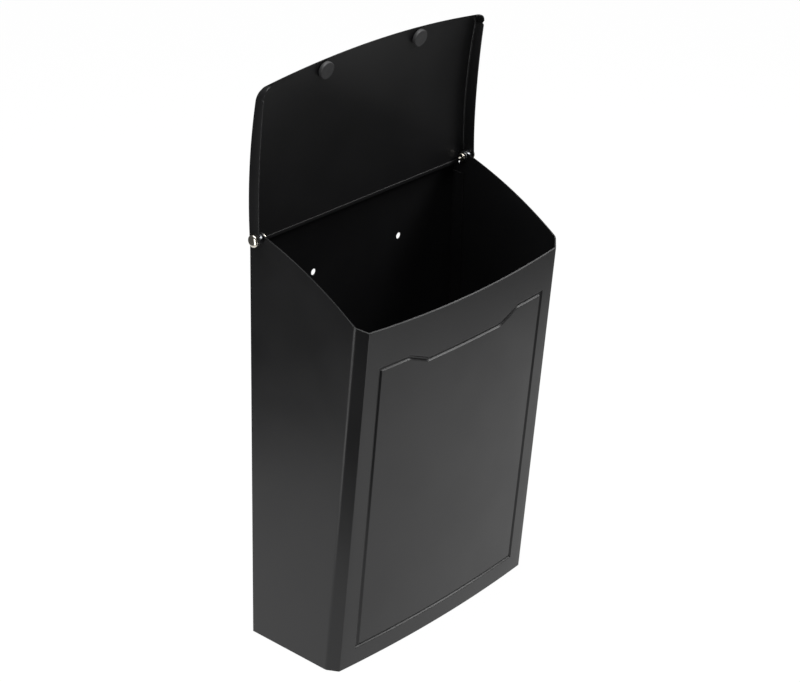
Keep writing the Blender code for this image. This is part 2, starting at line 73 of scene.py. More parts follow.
PIVOT_DEPTH = -HINGE[1]
PIVOT_HEIGHT = HINGE[2] - BASE
MM = 0.001

WELD = 2e-6                # points closer than this are one
COLUMNS_PER_SIDE = 44      # of the wrap's grid, wall to fold
GROOVE_BAND = 0.6          # fine rows reach this share of the groove's width to each side
TOP_EDGE_ROUNDS = 12       # passes that settle a sloping column on the crowned top edge
EAR_NECK_DEGREES = -20     # the ear's circle ends this far below its middle
MIX_COLOUR_OUT = 2         # a Mix node's colour output
JOIN = 0.3 * MM            # the lid's front strip starts this far inside the plate


# ---------------------------------------------------------------- settings
def length_mm(name, value, description):
    """A length setting stored in metres, given here in millimetres."""
    return FloatProperty(name=name, default=value * MM, min=0.0, subtype="DISTANCE", unit="LENGTH",
                         precision=5, description=description)


def angle(name, degrees, description):
    """An angle setting stored in radians, given here in degrees."""
    return FloatProperty(name=name, default=math.radians(degrees), subtype="ANGLE", description=description)


def hex_colour(name, value, description):
    """A colour setting given as an sRGB hex string."""
    return StringProperty(name=name, default=value, description=description)


class MAILBOX_PG_sheet(PropertyGroup):
    """Folded box: wrap, groove and ears."""
    sheet: length_mm("Sheet", 1.0, "Steel with its powder coat")
    bend: length_mm("Side fold", 5.0, "Outer radius of the fold between side and corner face")
    front_bend: length_mm("Front fold", 1.4, "Outer radius of the fold between corner face and front")
    edge: length_mm("Edge rounding", 0.22, "Rounding that the coat gives a cut edge")
    top_drop: length_mm("Top drop", 49.0, "Fall of the top edge along a side")
    top_radius: length_mm("Top crown", 335.0, "Radius of the sloping top edge")
    depth_top: length_mm("Top depth", 117.0, "Wall to front corner at the top")
    depth_foot: length_mm("Foot depth", 92.1, "Wall to front corner at the foot")
    run_top: length_mm("Corner run, top", 7.5, "Depth of the narrow corner face at the top")
    run_foot: length_mm("Corner run, foot", 9.6, "Depth of the narrow corner face at the foot")
    inset_top: length_mm("Corner inset, top", 8.4, "Width of the narrow corner face at the top")
    inset_foot: length_mm("Corner inset, foot", 5.5, "Width of the narrow corner face at the foot")
    bow_top: length_mm("Bow, top", 5.0, "Bulge of the front at the top")
    bow_foot: length_mm("Bow, foot", 5.6, "Bulge of the front at the foot")
    groove_margin: length_mm("Groove to corner", 14.6, "Front corner to the groove's centre line")
    groove_foot: length_mm("Groove to foot", 17.8, "Bottom edge to the groove")
    groove_head: length_mm("Groove to top", 35.2, "Top front corner to the groove")
    shoulder: length_mm("Groove shoulder", 31.5, "Length of each high shoulder of the groove")
    step_run: length_mm("Groove step run", 21.6, "Length of each slanting step")
    step_drop: length_mm("Groove step drop", 9.1, "Height of each slanting step")
    groove_width: length_mm("Groove width", 4.2, "Pressed groove from lip to lip")
    groove_floor: length_mm("Groove floor", 1.2, "Flat of the groove")
    groove_depth: length_mm("Groove depth", 1.5, "How far the groove is pressed in")
    ear: length_mm("Ear", 4.1, "Radius of the side wall's ear round the hinge")
    swing: length_mm("Lid swing", 8.7, "Reach of the lid's rear edge from the hinge axis")
    clearance: length_mm("Swing clearance", 0.35, "Room round the swinging rear edge")


class MAILBOX_PG_lid(PropertyGroup):
    """Crowned lid with its skirt, corner tabs and rear hem."""
    side_room: length_mm("Side room", 5.0, "Side wall to the inside of the skirt")
    bend: length_mm("Bend", 2.2, "Outer radius of the fold between plate and skirt")
    crown: length_mm("Crown", 480.0, "Radius of the plate, front to back")
    plate_gap: length_mm("Plate above hinge", 4.9, "Hinge axis to the plate's underside")
    overhang: length_mm("Overhang", 6.4, "Lid's front corner past the box's")
    corner_run: length_mm("Corner run", 8.4, "Depth of the rounded corner")
    corner_inset: length_mm("Corner inset", 8.6, "Width of the rounded corner")
    bow: length_mm("Bow", 6.6, "Bulge of the front edge")
    skirt_end: length_mm("Skirt end", 5.8, "Rounded rear end of the skirt")
    taper: length_mm("Skirt taper", 3.2, "How much shallower the skirt gets at the front")
    taper_start: length_mm("Taper start", 45.0, "Depth where the skirt starts to get shallower")
    notch: length_mm("Notch", 1.4, "Relief cut between skirt and corner tab")
    notch_run: length_mm("Notch run", 1.6, "Half length of the relief cut")
    corner_round: length_mm("Tab rounding", 4.0, "Rounded lower corner of the tab")
    hem_width: length_mm("Hem", 3.4, "Rear edge folded under")
    rest_gap: length_mm("Rest gap", 4.1, "Lid to the front wall's edge when shut")
    pad_spacing: length_mm("Pad spacing", 106.0, "Distance between the rubber pads")
    pad_radius: length_mm("Pad radius", 7.0, "Rubber pad")
    pad_height: length_mm("Pad height", 3.5, "Rubber pad")
    pad_forward: length_mm("Pad forward", 0.4, "Pad's middle in front of the front wall's face")


class MAILBOX_PG_hinge(PropertyGroup):
    """Rivets, bushes and washers that the lid turns on."""
    gap: length_mm("Gap", 0.3, "Air between two pieces that touch")
    shank: length_mm("Shank", 2.4, "Rivet shank radius")
    head: length_mm("Head", 5.1, "Rivet head radius")
    head_height: length_mm("Head height", 2.9, "Rise of the domed head")
    clinch: length_mm("Clinch", 3.4, "Radius of the formed end")
    clinch_height: length_mm("Clinch height", 2.2, "Rise of the formed end")
    washer: length_mm("Washer", 4.5, "Washer radius")
    washer_thickness: length_mm("Washer thickness", 0.8, "Washer thickness")
    bush: length_mm("Bush", 4.3, "Spacer bush radius")
    turns: IntProperty(name="Facets", default=56, min=12, description="Facets round a turned piece")


class MAILBOX_PG_finish(PropertyGroup):
    """Colours of the finishes."""
    coat: hex_colour("Powder coat", "#111112", "Satin black polyester coat")
    coat_thin: hex_colour("Coat, thin", "#161617", "The coat where it lies thinner")
    rubber: hex_colour("Rubber", "#303031", "Grey pads")
    rubber_bloom: hex_colour("Rubber bloom", "#3C3C3D", "Pale bloom on the pads")
    nickel: hex_colour("Nickel", "#D3CEC2", "Bright plated rivets")
    zinc: hex_colour("Zinc", "#85878A", "Plated bushes and washers")
    zinc_dull: hex_colour("Zinc, dull", "#636567", "The plate where it has dulled")


class MAILBOX_PG_stage(PropertyGroup):
    """Camera, floor and lights."""
    yaw: angle("Yaw", 48.623, "Turn from +Y to +X")
    pitch: angle("Pitch", 26.166, "Looking down")
    roll: angle("Roll", 1.304, "Roll of the camera")
    lens: FloatProperty(name="Lens", default=107.54, min=1.0,
                        description="Focal length in mm on a 36 mm sensor")
    distance: length_mm("Distance", 1970.3, "Camera to the point it looks at")
    target: FloatVectorProperty(name="Target", default=(0.0374, -0.0163, 0.0354), subtype="XYZ",
                                unit="LENGTH", description="Point in the middle of the view")
    table_colour: hex_colour("Table", "#3A3A3A", "Opal sheet of the light table")
    table_glow: FloatProperty(name="Table glow", default=0.97, min=0.0,
                              description="Light given off by the table")
    table_near: FloatProperty(name="Table near edge", default=-0.36, unit="LENGTH",
                              description="Along the line of sight from the object")
    table_far: FloatProperty(name="Table far edge", default=1.8, unit="LENGTH",
                             description="Along the line of sight from the object")
    table_left: length_mm("Table, left", 400.0, "Line of sight to the table's left edge at its near end")
    table_right: length_mm("Table, right", 500.0, "Line of sight to the table's right edge at its near end")
    table_spread: length_mm("Table, far half", 680.0, "Half width of the table's far end")
    floor_drop: length_mm("Floor drop", 0.5, "Table below the box")


# ---------------------------------------------------------------- small tools
def settings(name):
    return getattr(bpy.context.scene, name)


def linear(hex_string):
    """sRGB hex to linear RGBA: the piecewise curve of the sRGB standard."""
    values = [int(hex_string[k:k + 2], 16) / 255 for k in (1, 3, 5)]
    curve = [v / 12.92 if v <= 0.04045 else ((v + 0.055) / 1.055) ** 2.4 for v in values]
    return (*curve, 1.0)


def mix_of(first, second):
    """The two colour settings of a Mix node, its seventh and eighth inputs."""
    return {"in_6": linear(first), "in_7": linear(second)}


def add_node(tree, kind, links=None, **values):
    """Adds a shader node, sets its attributes or sockets, and links its inputs."""
    made = tree.nodes.new(kind)
    for key, value in values.items():
        if key.startswith("in_"):
            name = key[3:]
            socket = made.inputs[int(name) if name.isdigit() else name.replace("_", " ")]
            socket.default_value = value
        else:
            setattr(made, key, value)
    for socket, source in (links or {}).items():
        tree.links.new(source, made.inputs[socket])
    return made


def blank_material(name):
    """A material with only its Principled shader, and that shader."""
    made = bpy.data.materials.new(name)
    made.use_nodes = True
    tree = made.node_tree
    return made, tree, tree.nodes["Principled BSDF"]


def mesh_piece(name, points, faces, smooth_degrees=32):
    """A closed, outward facing piece at the origin from points and faces."""
    mesh = bpy.data.meshes.new(name)
    mesh.from_pydata(np.asarray(points, dtype=float).tolist(), [], faces)
    return piece_from_mesh(name, mesh, smooth_degrees)


def piece_from_mesh(name, mesh, smooth_degrees=32, flatten=False):
    """Welds a mesh, turns its faces outwards and links it as an object."""
    shape = bmesh.new()
    shape.from_mesh(mesh)
    bmesh.ops.remove_doubles(shape, verts=shape.verts, dist=WELD)
    bmesh.ops.dissolve_degenerate(shape, edges=shape.edges, dist=WELD)
    if flatten:
        bmesh.ops.dissolve_limit(shape, angle_limit=math.radians(0.5), verts=shape.verts, edges=shape.edges)
    bmesh.ops.recalc_face_normals(shape, faces=shape.faces)
    shape.to_mesh(mesh)
    shape.free()
    mesh.shade_smooth()
    mesh.set_sharp_from_angle(angle=math.radians(smooth_degrees))
    made = bpy.data.objects.new(name, mesh)
    bpy.context.collection.objects.link(made)
    return made


def grid_faces(columns, rows, start=0, wrap_columns=False):
    """Quads of a grid whose point (a, b) has index start + a * rows + b."""
    a, b = np.meshgrid(np.arange(columns if wrap_columns else columns - 1), np.arange(rows - 1), indexing="ij")
    after = (a + 1) % columns
    quads = np.stack([a * rows + b, after * rows + b, after * rows + b + 1, a * rows + b + 1], axis=-1)
    return (quads.reshape(-1, 4) + start).tolist()


def turned_piece(name, profile, centre, axis=(1.0, 0.0, 0.0), turns=56, smooth_degrees=32):
    """Body of revolution: each (along, radius) point of the profile is carried
    round the axis through centre, at centre + along * axis + radius * (cos t * u + sin t * v)."""
    profile = np.asarray(profile, dtype=float)
    axis = np.asarray(axis, dtype=float) / np.linalg.norm(axis)
    side = np.cross(axis, (0.0, 0.0, 1.0) if abs(axis[2]) < 0.9 else (0.0, 1.0, 0.0))
    side = side / np.linalg.norm(side)
    up = np.cross(axis, side)
    angle = np.linspace(0.0, math.tau, turns, endpoint=False)[:, None, None]
    along = profile[None, :, 0, None]
    radius = profile[None, :, 1, None]
    points = np.asarray(centre) + along * axis + radius * (np.cos(angle) * side + np.sin(angle) * up)
    return mesh_piece(name, points.reshape(-1, 3), grid_faces(turns, len(profile), wrap_columns=True),
                      smooth_degrees)


def quarter(centre, radius, start_degrees, end_degrees, steps=6):
    """Arc of (along, radius) points about a centre."""
    angle = np.radians(np.linspace(start_degrees, end_degrees, steps))
    return np.column_stack([centre[0] + radius * np.cos(angle), centre[1] + radius * np.sin(angle)])


def subtract(piece, cutters):
    """Cuts the given cutter objects out of a piece and removes them."""
    for cutter in cutters:
        modifier = piece.modifiers.new(cutter.name, "BOOLEAN")
        modifier.operation = "DIFFERENCE"
        modifier.solver = "EXACT"
        modifier.object = cutter
    bpy.context.view_layer.update()
    depsgraph = bpy.context.evaluated_depsgraph_get()
    mesh = bpy.data.meshes.new_from_object(piece.evaluated_get(depsgraph))
    piece.modifiers.clear()
    old = piece.data
    piece.data = mesh
    bpy.data.meshes.remove(old)
    for cutter in cutters:
        bpy.data.objects.remove(cutter, do_unlink=True)


def soften(piece, width, segments=2, degrees=50):
    """Rounds a piece's cut edges as the coat does."""
    bevel = piece.modifiers.new("coated_edges", "BEVEL")
    bevel.width = width
    bevel.segments = segments
    bevel.limit_method = "ANGLE"
    bevel.angle_limit = math.radians(degrees)
    bevel.use_clamp_overlap = True
    bevel.harden_normals = False


def settle(piece, body, slot, material, *nodes):
    """Gives a piece its finish, body and record slot, and hides what it stands for."""
    piece.data.materials.clear()
    piece.data.materials.append(material)
    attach(piece, body)
    if nodes:
        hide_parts(*nodes)


# ---------------------------------------------------------------- finishes
def powder_coat():
    """Satin black polyester powder coat, sprayed and baked: an even sheen broken
    by orange peel about 1.4 mm across and by finer grit, with softly varying gloss."""
    name = "satin_black_powder_coat"
    if name in bpy.data.materials:
        return bpy.data.materials[name]
    finish = settings("mailbox_finish")
    made, tree, shader = blank_material(name)
    shader.inputs["IOR"].default_value = 1.43
    place = add_node(tree, "ShaderNodeTexCoord").outputs["Object"]
    peel = add_node(tree, "ShaderNodeTexNoise", {"Vector": place}, in_Scale=1 / (1.4 * MM), in_Detail=2.0,
                    in_Roughness=0.45)
    grit = add_node(tree, "ShaderNodeTexNoise", {"Vector": place}, in_Scale=1 / (0.45 * MM), in_Detail=1.0)
    cloud = add_node(tree, "ShaderNodeTexNoise", {"Vector": place}, in_Scale=1 / (55 * MM), in_Detail=3.0)
    specks = add_node(tree, "ShaderNodeTexVoronoi", {"Vector": place}, in_Scale=1 / (9 * MM))
    dots = add_node(tree, "ShaderNodeMapRange", {"Value": specks.outputs["Distance"]}, in_From_Min=0.03,
                    in_From_Max=0.06, in_To_Min=0.5, in_To_Max=0.0)
    tint = add_node(tree, "ShaderNodeMath", {0: cloud.outputs["Fac"], 1: dots.outputs["Result"]},
                    operation="ADD", use_clamp=True)
    shade = add_node(tree, "ShaderNodeMix", {"Factor": tint.outputs["Value"]}, data_type="RGBA",
                     **mix_of(finish.coat, finish.coat_thin))
    gloss = add_node(tree, "ShaderNodeMapRange", {"Value": cloud.outputs["Fac"]}, in_From_Min=0.3,
                     in_From_Max=0.7, in_To_Min=0.33, in_To_Max=0.4)
    fine = add_node(tree, "ShaderNodeBump", {"Height": grit.outputs["Fac"]}, in_Strength=0.35,
                    in_Distance=0.012 * MM)
    bump = add_node(tree, "ShaderNodeBump", {"Height": peel.outputs["Fac"], "Normal": fine.outputs["Normal"]},
                    in_Strength=0.6, in_Distance=0.03 * MM)
    tree.links.new(shade.outputs[MIX_COLOUR_OUT], shader.inputs["Base Color"])
    tree.links.new(gloss.outputs["Result"], shader.inputs["Roughness"])
    tree.links.new(bump.outputs["Normal"], shader.inputs["Normal"])
    return made


def pad_rubber():
    """Moulded grey rubber, matt, with a pale bloom in patches and a fine skin grain."""
    name = "moulded_grey_rubber"
    if name in bpy.data.materials:
        return bpy.data.materials[name]
    finish = settings("mailbox_finish")
    made, tree, shader = blank_material(name)
    shader.inputs["Roughness"].default_value = 0.62
    place = add_node(tree, "ShaderNodeTexCoord").outputs["Object"]
    patches = add_node(tree, "ShaderNodeTexNoise", {"Vector": place}, in_Scale=1 / (4 * MM), in_Detail=3.0)
    grain = add_node(tree, "ShaderNodeTexNoise", {"Vector": place}, in_Scale=1 / (0.5 * MM), in_Detail=2.0)
    shade = add_node(tree, "ShaderNodeMix", {"Factor": patches.outputs["Fac"]}, data_type="RGBA",
                     **mix_of(finish.rubber, finish.rubber_bloom))
    bump = add_node(tree, "ShaderNodeBump", {"Height": grain.outputs["Fac"]}, in_Strength=0.5,
                    in_Distance=0.05 * MM)
    tree.links.new(shade.outputs[MIX_COLOUR_OUT], shader.inputs["Base Color"])
    tree.links.new(bump.outputs["Normal"], shader.inputs["Normal"])
    return made


def nickel_plate():
    """Bright nickel on pressed rivets: a near mirror with a warm cast, a faint
    ripple from the forming tool and slightly cloudy gloss."""
    name = "bright_nickel_plate"
    if name in bpy.data.materials:
        return bpy.data.materials[name]
    finish = settings("mailbox_finish")
    made, tree, shader = blank_material(name)
    shader.inputs["Metallic"].default_value = 1.0
    shader.inputs["Base Color"].default_value = linear(finish.nickel)
    place = add_node(tree, "ShaderNodeTexCoord").outputs["Object"]
    ripple = add_node(tree, "ShaderNodeTexNoise", {"Vector": place}, in_Scale=1 / (1.8 * MM), in_Detail=1.0)
    cloud = add_node(tree, "ShaderNodeTexNoise", {"Vector": place}, in_Scale=1 / (3 * MM), in_Detail=3.0)
    gloss = add_node(tree, "ShaderNodeMapRange", {"Value": cloud.outputs["Fac"]}, in_From_Min=0.3,
                     in_From_Max=0.7, in_To_Min=0.12, in_To_Max=0.24)
    bump = add_node(tree, "ShaderNodeBump", {"Height": ripple.outputs["Fac"]}, in_Strength=0.4,
                    in_Distance=0.05 * MM)
    tree.links.new(gloss.outputs["Result"], shader.inputs["Roughness"])
    tree.links.new(bump.outputs["Normal"], shader.inputs["Normal"])
    return made


def zinc_plate():
    """Zinc plate on turned bushes and stamped washers: silvery, cloudy where it
    has dulled, with turning marks along the axis.  A wave's bands are tau / (20 * scale)
    apart, here 1.6 mm, which is coarser than real marks so that they show."""
    name = "clear_zinc_plate"
    if name in bpy.data.materials:
        return bpy.data.materials[name]
    finish = settings("mailbox_finish")
    made, tree, shader = blank_material(name)
    shader.inputs["Metallic"].default_value = 1.0
    place = add_node(tree, "ShaderNodeTexCoord").outputs["Object"]
    cloud = add_node(tree, "ShaderNodeTexNoise", {"Vector": place}, in_Scale=1 / (2.5 * MM), in_Detail=4.0)
    marks = add_node(tree, "ShaderNodeTexWave", {"Vector": place}, in_Scale=1 / (5 * MM),
                     in_Distortion=0.3, bands_direction="X")
    shade = add_node(tree, "ShaderNodeMix", {"Factor": cloud.outputs["Fac"]}, data_type="RGBA",
                     **mix_of(finish.zinc, finish.zinc_dull))
    gloss = add_node(tree, "ShaderNodeMapRange", {"Value": cloud.outputs["Fac"]}, in_From_Min=0.3,
                     in_From_Max=0.7, in_To_Min=0.24, in_To_Max=0.42)
    bump = add_node(tree, "ShaderNodeBump", {"Height": marks.outputs["Fac"]}, in_Strength=0.3,
                    in_Distance=0.02 * MM)
    tree.links.new(shade.outputs[MIX_COLOUR_OUT], shader.inputs["Base Color"])
    tree.links.new(gloss.outputs["Result"], shader.inputs["Roughness"])
    tree.links.new(bump.outputs["Normal"], shader.inputs["Normal"])
    return made


# ---------------------------------------------------------------- box shapes
class Crown:
    """A crowned edge seen from the side: height as a function of depth.

    The circle of the given radius passes at near_distance from the near point
    and at far_distance from the far point, with its centre below them.
    """

    def __init__(self, near, near_distance, far, far_distance, radius):
        near = np.asarray(near, dtype=float)
        step = np.asarray(far, dtype=float) - near
        span = np.linalg.norm(step)
        along = (near_distance ** 2 - far_distance ** 2 + span ** 2) / (2 * span)
        across = math.sqrt(near_distance ** 2 - along ** 2)
        unit = step / span
        self.centre = near + unit * along + np.array([unit[1], -unit[0]]) * across
        self.radius = radius

    def height(self, depth, offset=0.0):
        run = np.asarray(depth) - self.centre[0]
        return self.centre[1] + np.sqrt((self.radius + offset) ** 2 - run ** 2)

    def slope(self, depth):
        return np.arcsin((np.asarray(depth) - self.centre[0]) / self.radius)


def box_top_edge(box):
    corner = (box.depth_top - box.run_top, BACK_HEIGHT - box.top_drop)
    return Crown((0.0, BACK_HEIGHT), box.top_radius, corner, box.top_radius, box.top_radius)


def fold_arc(before, corner, after, radius, steps=9):
    """Points and outward normals round a fold between two straight runs."""
    before, corner, after = (np.asarray(p, dtype=float) for p in (before, corner, after))
    along = (corner - before) / np.linalg.norm(corner - before)
    leaving = (after - corner) / np.linalg.norm(after - corner)
    turn = math.acos(float(np.clip(along @ leaving, -1, 1)))
    reach = radius * math.tan(turn / 2)
    normal = np.array([-along[1], along[0]])
    centre = corner - along * reach - normal * radius
    heading = math.atan2(normal[1], normal[0]) - turn * np.linspace(0, 1, steps)
    units = np.column_stack([np.cos(heading), np.sin(heading)])
    return np.hstack([centre + radius * units, units])


def plan_section(half, inset, side_depth, corner_depth, bow, front_x, bends):
    """Plan of the wrap as rows of (x, depth, normal x, normal depth).

    A straight side, a fold, a narrow flat corner face, a second fold and then a
    front whose depth is corner_depth + bow * (1 - (x / half) squared), mirrored.
    """
    outer = half + inset
    count = COLUMNS_PER_SIDE
    side = np.column_stack([np.full(count, -outer), np.linspace(0, 1, count) * side_depth,
                            np.full(count, -1.0), np.zeros(count)])
    first = fold_arc((-outer, 0), (-outer, side_depth), (-half, corner_depth), bends[0])
    ahead = (-half + 0.01, corner_depth + 0.01 * 2 * bow / half)
    second = fold_arc((-outer, side_depth), (-half, corner_depth), ahead, bends[1])
    side[:, 1] *= first[0, 1] / side_depth
    face = first[-1] + (second[0] - first[-1]) * np.linspace(0, 1, 4)[1:-1, None]
    slope = -2 * bow * front_x / half ** 2
    length = np.hypot(slope, 1)
    front = np.column_stack([front_x, corner_depth + bow * (1 - (front_x / half) ** 2),
                             -slope / length, 1 / length])
    left = np.vstack([side[:-1], first, face, second])
    right = left[::-1] * np.array([-1, 1, -1, 1])
    return np.vstack([left, front, right])


def groove_side(box):
    """X of the groove's upright runs."""
    return WIDTH / 2 - box.inset_top - box.groove_margin


def groove_head_line(box, top_edge, x):
    """Height of the groove's upper run: shoulders, slanting steps and a lower middle."""
    high = top_edge.height(box.depth_top) - box.groove_head
    into = groove_side(box) - box.shoulder - np.abs(x)
    return high - box.step_drop * np.clip(into / box.step_run, 0, 1)


def groove_press(box, top_edge, x, height):
    """How far the groove is pressed in: full depth over its floor, then an S curve,
    3 t squared less 2 t cubed, of the distance from the floor out to each lip."""
    inside = np.minimum(groove_side(box) - np.abs(x), height - box.groove_foot)
    inside = np.minimum(inside, groove_head_line(box, top_edge, x) - height)
    away = (np.abs(inside) - box.groove_floor / 2) / ((box.groove_width - box.groove_floor) / 2)
    away = np.clip(away, 0, 1)
    return box.groove_depth * (1 - away * away * (3 - 2 * away))


def front_columns(box):
    """X of the front's columns: 0.3 mm apart across the groove, 2.5 mm elsewhere."""
    edge = groove_side(box)
    width = box.groove_width * GROOVE_BAND
    middle = np.linspace(0, edge - width, 40)
    groove = np.linspace(edge - width, edge + width, 19)
    outer = np.linspace(edge + width, WIDTH / 2 - box.inset_top - 4 * MM, 4)
    right = np.unique(np.concatenate([middle, groove, outer]))
    return np.concatenate([-right[:0:-1], right])


def wrap_rows(box, top_edge, x, top):
    """Heights of the wrap's rows on each column: close together across the groove's
    lower and upper runs, evenly spread between them."""
    width = box.groove_width * GROOVE_BAND
    head = groove_head_line(box, top_edge, x)
    marks = [np.zeros_like(x), box.groove_foot - width + 0 * x, box.groove_foot + width + 0 * x,
             head - width, head + width, top]
    counts = (5, 18, 46, 18, 9)
    rows = [low[:, None] + (high - low)[:, None] * np.linspace(0, 1, count, endpoint=False)[None, :]
            for low, high, count in zip(marks, marks[1:], counts)]
    return np.hstack([*rows, top[:, None]])


def wrap_skin(box, inset):
    """One skin of the wrap: every column is the straight line between the plan
    sections at the foot and at the corner height, moved in by inset."""
    top_edge = box_top_edge(box)
    level = BACK_HEIGHT - box.top_drop
    front_x = front_columns(box)
    ends = []
    for depth, run, side_inset, bow in ((box.depth_foot, box.run_foot, box.inset_foot, box.bow_foot),
                                        (box.depth_top, box.run_top, box.inset_top, box.bow_top)):
        half = WIDTH / 2 - side_inset
        plan = plan_section(half, side_inset, depth - run, depth, bow, front_x,
                            (box.bend, box.front_bend))
        ends.append(plan[:, :2] - plan[:, 2:] * inset)
    foot, head = ends
    top = np.full(len(foot), level)
    for _ in range(TOP_EDGE_ROUNDS):
        top = top_edge.height(foot[:, 1] + (head[:, 1] - foot[:, 1]) * top / level)
    heights = wrap_rows(box, top_edge, head[:, 0], top)
    part = heights / level
    x = foot[:, 0, None] + (head[:, 0] - foot[:, 0])[:, None] * part
    depth = foot[:, 1, None] + (head[:, 1] - foot[:, 1])[:, None] * part
    on_front = np.abs(head[:, 0, None]) < WIDTH / 2 - box.inset_top - 2 * MM
    depth = depth - np.where(on_front, groove_press(box, top_edge, x, heights), 0)
    return np.stack([x, -depth, heights + BASE], axis=-1)


def sheet_shell(name, outer, inner):
    """Closes two skins of the same grid into one thin body."""
    columns, rows = outer.shape[:2]
    count = columns * rows
    points = np.vstack([outer.reshape(-1, 3), inner.reshape(-1, 3)])
    faces = grid_faces(columns, rows)
    faces += [[k + count for k in reversed(face)] for face in faces]
    column = np.arange(columns)
    row = np.arange(rows)
    for rim in (column * rows, column * rows + rows - 1, row, (columns - 1) * rows + row):
        faces += [[int(a), int(b), int(b) + count, int(a) + count] for a, b in zip(rim, rim[1:])]
    return mesh_piece(name, points, faces)


def ear_cutter(box, lid_drop):
    """What is cut away behind the rounded ear, so that the lid's rear edge can swing down."""
    crest = math.degrees(math.pi / 2 + float(box_top_edge(box).slope(PIVOT_DEPTH)))
    shoulder = PIVOT_HEIGHT - lid_drop - box.clearance
    ear = np.radians(np.linspace(EAR_NECK_DEGREES, crest, 24))
    round_ear = np.column_stack([PIVOT_DEPTH - box.ear * np.cos(ear), PIVOT_HEIGHT + box.ear * np.sin(ear)])
    above = BACK_HEIGHT + PIVOT_DEPTH
    outline = np.vstack([[(-2 * MM, shoulder), (round_ear[0, 0], shoulder)], round_ear,
                         [(round_ear[-1, 0], above), (-2 * MM, above)]])
    return prism("ear_cutter", outline, WIDTH)


def prism(name, outline, reach):
    """An outline of (depth, height) points drawn out along X to both sides."""
    count = len(outline)
    low = np.column_stack([np.full(count, -reach), -outline[:, 0], outline[:, 1] + BASE])
    high = low * np.array([-1, 1, 1])
    faces = [[k, (k + 1) % count, (k + 1) % count + count, k + count] for k in range(count)]
    faces += [list(range(count))[::-1], [k + count for k in range(count)]]
    return mesh_piece(name, np.vstack([low, high]), faces)


def hole_cutter(hinge):
    """Clearance holes for both rivet shanks."""
    radius = hinge.shank + hinge.gap
    return turned_piece("rivet_hole_cutter", [(-WIDTH, 0), (-WIDTH, radius), (WIDTH, radius), (WIDTH, 0)],
                        HINGE, turns=32)


class MAILBOX_OT_wrap(Operator):
    """Folded sheet of both sides, corner faces and the grooved front"""
    bl_idname = "mailbox.wrap"
    bl_label = "Box Wrap"

    def execute(self, context):
        box = settings("mailbox_sheet")
        piece = sheet_shell("wrap_sheet", wrap_skin(box, 0.0), wrap_skin(box, box.sheet))
        lid_drop = LidShape(settings("mailbox_lid"), box).rear_drop()
        subtract(piece, [ear_cutter(box, lid_drop), hole_cutter(settings("mailbox_hinge"))])
        soften(piece, box.edge)
        settle(piece, "box", "powder_coat", powder_coat(), "body_wrap")
        return {"FINISHED"}


class MAILBOX_OT_panels(Operator):
    """Back panel and floor panel, with coated edges"""
    bl_idname = "mailbox.panels"
    bl_label = "Back and Floor"

    def execute(self, context):
        box = settings("mailbox_sheet")
        for node, name in (("back_panel", "back_sheet"), ("floor_panel", "floor_tray")):
            piece = piece_from_mesh(name, frame["nodes"][node].data.copy(), flatten=True)
            soften(piece, box.edge)
            settle(piece, "box", "powder_coat", powder_coat(), node)
        return {"FINISHED"}


